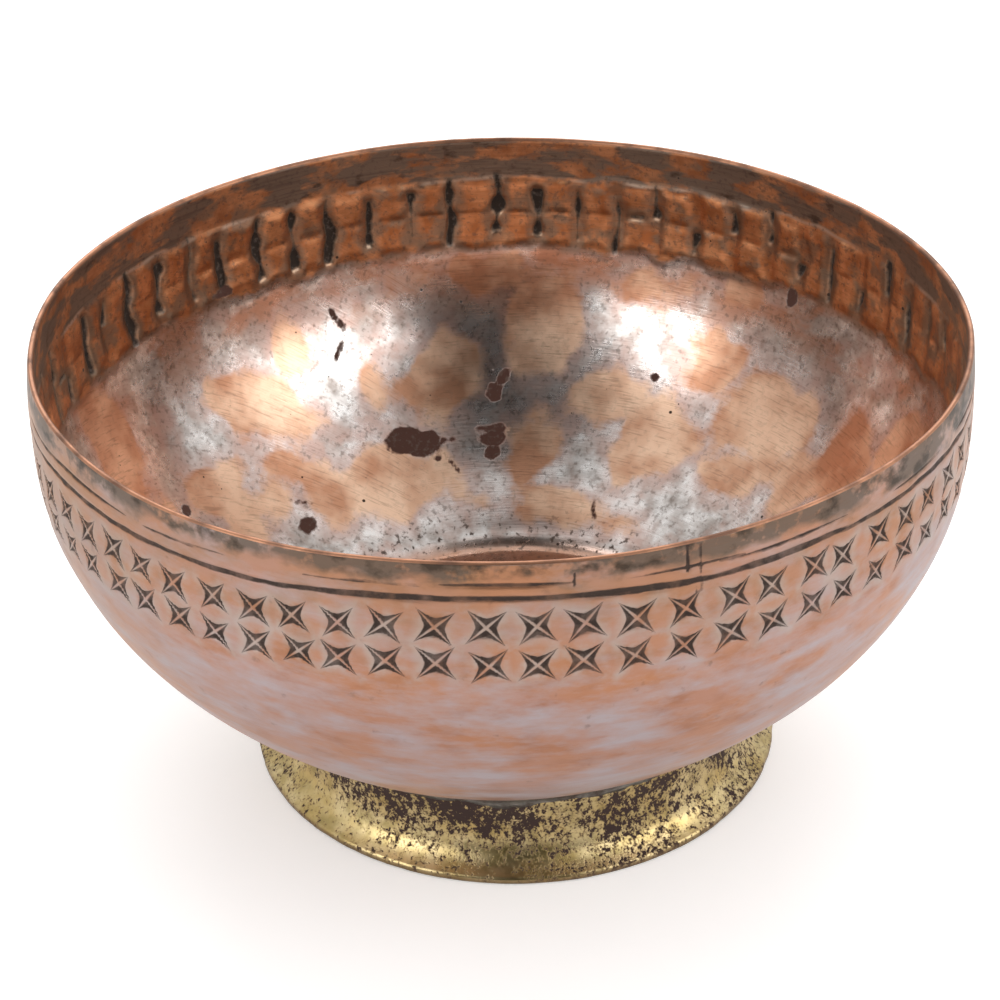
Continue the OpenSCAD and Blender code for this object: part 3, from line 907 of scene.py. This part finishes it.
    # burnt patches and pits
    scald = add("MapRange",
                add("Math", add("Attribute", attribute_name="burnt", output="Fac"),
                    add("Math", grain.fine, 1.2, -0.6, operation="MULTIPLY_ADD"), operation="ADD"), -0.25,
                0.2)
    colour = add("Mix", scald, colour, hue.burnt, data_type="RGBA")
    large, small = [
        add("TexVoronoi", add("VectorMath", inMm, [close] * 3, operation="MULTIPLY"), 1.0)
        for close in insideFinish["pits"]]
    size = add("MapRange", large.node.outputs["Color"], 0.5, 1.0, 0, 0.13)
    pits = add("MapRange", add("Math", size, large, operation="SUBTRACT"), 0.0, 0.02)
    sizeSmall = add("MapRange", small.node.outputs["Color"], 0.72, 1.0, 0, 0.16)
    pitsSmall = add("MapRange", add("Math", sizeSmall, small, operation="SUBTRACT"), 0.0, 0.03)
    pits = add("Math", pits,
               add("Math", pitsSmall, add("MapRange", grain.mid, 0.42, 0.55), operation="MULTIPLY"),
               operation="MAXIMUM")
    pits = add("Math", pits,
               add("Math", grit, add("MapRange", grain.grits, 0.58, 0.66), operation="MULTIPLY"),
               operation="MAXIMUM")
    colour = add("Mix", add("Math", pits, 0.9, operation="MULTIPLY"), colour, hue.pitBlack,
                 data_type="RGBA")
    colour = add("Mix", add("Math", speckle, add("Mix", bare, 0.55, 0.16), operation="MULTIPLY"), colour,
                 hue.tinStain, data_type="RGBA")
    scratchDark = add("Math", add("MapRange", scour, 0.54, 0.68), add("Mix", bare, 0.16, 0.3),
                      operation="MULTIPLY")
    scratchDark = add("Math", scratchDark, add("Math", 1.0, rimBand, operation="SUBTRACT"),
                      operation="MULTIPLY")
    colour = add("Mix", scratchDark, colour, hue.scratch, data_type="RGBA")
    # finish: tin is smooth and silvery, copper is scoured satin, dirt is dull
    roughness = add("Mix", bare, 0.27, 0.34)
    roughness = add("Math", roughness, add("MapRange", grain.mid, 0.45, 0.75, 0, 0.08), operation="ADD")
    roughness = add("Mix", inBand, roughness, 0.36)
    roughness = add("Mix", rimBand, roughness, 0.45)
    dull = add("Math", add("Math", dark, scald, operation="MAXIMUM"), pits, operation="MAXIMUM")
    roughness = add("Mix", dull, roughness, 0.8)
    metallic = add("Mix", dull, 1.0, 0.3)
    relief = add("Math", add("Math", scour, 0.5, operation="MULTIPLY"),
                 add("Math", grain.fine, 0.35, operation="MULTIPLY"), operation="ADD")
    relief = add("Math", relief,
                 add("Math", grain.streak, add("Math", rimBand, 0.9, operation="MULTIPLY"),
                     operation="MULTIPLY"), operation="ADD")
    relief = add("Math", relief,
                 add("Math", add("Math", pits, scald, operation="MAXIMUM"), 0.5, operation="MULTIPLY"),
                 operation="SUBTRACT")
    finishMaterial(add, colour, roughness, metallic, relief, 0.1, 0.5)
    return material


# Old sheet brass: yellow where it is rubbed on the flare, eaten into dark brown pits higher up.
brassFinish = {
    "colours": {
        "brass": "#b39b66", "brassPale": "#c6b285", "olive": "#8b7b4c", "brown": "#6d5640",
        "black": "#3b2a25",
    },
    # noise patterns: size in mm, detail, roughness, and how much the pattern is squeezed along each axis
    "patterns": {
        "fine": (1.15, 4.0, 0.55, (1, 1, 0.8)), "speck": (0.5, 3.0, 0.55, even),
        "hair": (0.5, 2.0, 0.55, (0.05, 0.05, 1)), "tone": (9, 3.0, 0.55, even),
        "clouding": (4, 4.0, 0.55, even),
    },
}


def oldBrass():
    material, add, inMm, grain, hue = startMaterial("old sheet brass, pitted", brassFinish)
    height = add("SeparateXYZ", inMm, output="Z")
    colour = add("Mix", add("MapRange", grain.tone, 0.4, 0.6), hue.brass, hue.brassPale, data_type="RGBA")
    colour = add("Mix", add("MapRange", grain.clouding, 0.45, 0.7, 0, 0.7), colour, hue.olive,
                 data_type="RGBA")
    # corrosion read from the mesh, with the front darkened a little more as painted shade
    eatenAndFrontShade = add("Math", add("Attribute", attribute_name="eatenAndFrontShade", output="Fac"),
                add("Math", grain.fine, 4.6, -2.3, operation="MULTIPLY_ADD"), operation="ADD")
    eatenAndFrontShade = add("Math", eatenAndFrontShade, add("Math", grain.speck, 3.2, -1.6, operation="MULTIPLY_ADD"),
                operation="ADD")
    stain = add("MapRange", eatenAndFrontShade, -0.45, 0.3)
    pits = add("MapRange", eatenAndFrontShade, 0.22, 0.36)
    colour = add("Mix", add("Math", stain, 0.75, operation="MULTIPLY"), colour, hue.brown, data_type="RGBA")
    colour = add("Mix", pits, colour, hue.black, data_type="RGBA")
    lip = add("MapRange", height, 1.8, 0.7, 0, 0.75)
    colour = add("Mix", lip, colour, hue.brown, data_type="RGBA")
    roughness = add("Math", add("Mix", stain, 0.27, 0.5),
                    add("Math", grain.hair, 0.08, operation="MULTIPLY"), operation="ADD")
    roughness = add("Mix", pits, roughness, 0.85)
    metallic = add("Mix", pits, add("Mix", stain, 1.0, 0.8), 0.25)
    relief = add("Math", add("Math", grain.hair, 0.12, operation="MULTIPLY"),
                 add("Math", stain, 0.5, operation="MULTIPLY"), operation="SUBTRACT")
    finishMaterial(add, colour, roughness, metallic, relief, 0.12, 0.5)
    return material


# Soft solder: lead-grey, run in with an iron, lumpy and dull, with brown flux burnt on in places.
solderFinish = {
    "colours": {
        "lead": "#8b8985", "leadDeep": "#6f6a66", "flux": "#4a3a2e",
    },
    # noise patterns: size in mm, detail, roughness, and how much the pattern is squeezed along each axis
    "patterns": {
        "flux": (3.5, 4.0, 0.55, even), "tone": (7, 3.0, 0.55, even), "lumps": (0.9, 4.0, 0.55, even),
    },
}


def softSolder():
    material, add, _, grain, hue = startMaterial("soft solder, run in by hand", solderFinish)
    stain = add("MapRange", grain.flux, 0.45, 0.68)
    colour = add("Mix", add("MapRange", grain.tone, 0.4, 0.6), hue.lead, hue.leadDeep, data_type="RGBA")
    colour = add("Mix", add("Math", stain, 0.8, operation="MULTIPLY"), colour, hue.flux, data_type="RGBA")
    roughness = add("Mix", stain, 0.42, 0.75)
    finishMaterial(add, colour, roughness, add("Mix", stain, 1.0, 0.6), grain.lumps, 0.15, 0.8)
    return material


shellPiece = makeShell()
for material in (copperOutside(), copperEdge(), copperInside()):
    shellPiece.data.materials.append(material)
print("shell made,", len(shellPiece.data.polygons), "faces")
footPiece = makeFoot()
footPiece.data.materials.append(oldBrass())
print("foot ring made,", len(footPiece.data.polygons), "faces")
solderPaint = softSolder()
outerSolder = makeSolder("outer_solder_run", foot["neckRadius"], solder["outerLeg"], 1, 61)
innerRadius = foot["neckRadius"] - foot["thickness"]
innerSolder = makeSolder("inner_solder_run", innerRadius, solder["innerLeg"], -1, 64)
for run in (outerSolder, innerSolder):
    run.data.materials.append(solderPaint)
print("solder made")

for piece, node, slotName in (
    (shellPiece, "bowl_shell", "tinned_copper"),
    (footPiece, "foot_ring", "brass"),
    (outerSolder, "outer_solder_fillet", "solder"),
    (innerSolder, "inner_solder_fillet", "solder"),
):
    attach(piece, "root")
    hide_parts(node)


view = {
    "target": (0, 0, 57), "distance": 503.3, "elevation": 31.31, "roll": -0.77,  # mm and degrees
    "lens": 80.33, "sensor": 36, "shift": (-0.0027, 0.0117),
}


def makeCamera():
    lens = bpy.data.cameras.new("camera")
    lens.lens, lens.sensor_width = view["lens"], view["sensor"]
    lens.shift_x, lens.shift_y = view["shift"]
    lens.clip_start = 0.01
    camera = bpy.data.objects.new("camera", lens)
    up, roll = math.radians(view["elevation"]), math.radians(view["roll"])
    back = Vector((0, -math.cos(up), math.sin(up)))
    where = (Vector(view["target"]) + back * view["distance"]) * mm
    camera.matrix_world = Matrix.Translation(where) @ back.to_track_quat("Z", "Y").to_matrix().to_4x4()
    camera.matrix_world = camera.matrix_world @ Matrix.Rotation(roll, 4, "Z")
    bpy.context.scene.collection.objects.link(camera)
    bpy.context.scene.camera = camera


room = {"glow": 0.98, "lowGlow": 0.85, "darkGlow": 0.0, "darkTowards": (0.0, -0.82, 0.57)}
# Soft boxes: bearing from the front and elevation in degrees, distance, width and height in metres, watts
softBoxes = {
    "leftBox": (-47, 28, 1.1, 0.72, 0.5, 3.9),
    "rightBox": (58, 30, 1.1, 1.0, 0.56, 4.6),
    "backBox": (180, 45, 1.5, 1.6, 0.9, 12),
}


def makeLights():
    for name, (bearing, elevation, distance, wide, high, power) in softBoxes.items():
        lamp = bpy.data.lights.new(name, "AREA")
        lamp.shape, lamp.size, lamp.size_y, lamp.energy = "RECTANGLE", wide, high, power
        holder = bpy.data.objects.new(name, lamp)
        up, turnTo = math.radians(elevation), math.radians(bearing)
        way = Vector((math.sin(turnTo) * math.cos(up), -math.cos(turnTo) * math.cos(up), math.sin(up)))
        holder.location = Vector((0, 0, 60 * mm)) + way * distance
        holder.rotation_euler = way.to_track_quat("Z", "Y").to_euler()
        bpy.context.scene.collection.objects.link(holder)


def makeWorld():  # a pale room, dark round the camera, so that the metal has something to reflect
    world = bpy.data.worlds.new("pale room")
    world.use_nodes = True
    world.node_tree.nodes.clear()
    add = partial(addNode, world.node_tree)
    toward = add("TexCoord", output="Generated")
    rise = add("SeparateXYZ", toward, output="Z")
    high = add("MapRange", rise, 0.08, 0.3, interpolation_type="SMOOTHSTEP")
    strength = add("Mix", high, room["lowGlow"], room["glow"])
    front = add("VectorMath", toward, room["darkTowards"], operation="DOT_PRODUCT")
    gap = add("MapRange", front, 0.68, 0.88, interpolation_type="SMOOTHSTEP")
    strength = add("Mix", gap, strength, room["darkGlow"])
    add("OutputWorld", add("Background", (1, 1, 1, 1), strength))
    bpy.context.scene.world = world


floorFinish = {
    "colours": {"paper": "#fbfbfa", "paperShade": "#f6f6f5"},
    "patterns": {"mottling": (60, 3.0, 0.55, even)},
    "glow": 0.26,            # it is lit from below too, like a light table
}


def makeFloor():
    bpy.ops.mesh.primitive_circle_add(vertices=128, radius=4.0, fill_type="NGON", location=(0, 0, -0.0002))
    floor = bpy.context.object
    floor.name = "pale_table"
    material, add, _, grain, hue = startMaterial("pale matt paper", floorFinish)
    colour = add("Mix", grain.mottling, hue.paper, hue.paperShade, data_type="RGBA")
    shader = add("BsdfPrincipled", named={"Base Color": colour, "Roughness": 0.9, "Emission Color": colour,
                                          "Emission Strength": floorFinish["glow"]})
    add("OutputMaterial", shader)
    floor.data.materials.append(material)


makeCamera()
makeLights()
makeWorld()
makeFloor()
bpy.context.scene.view_settings.view_transform = "Standard"
print("stage set")
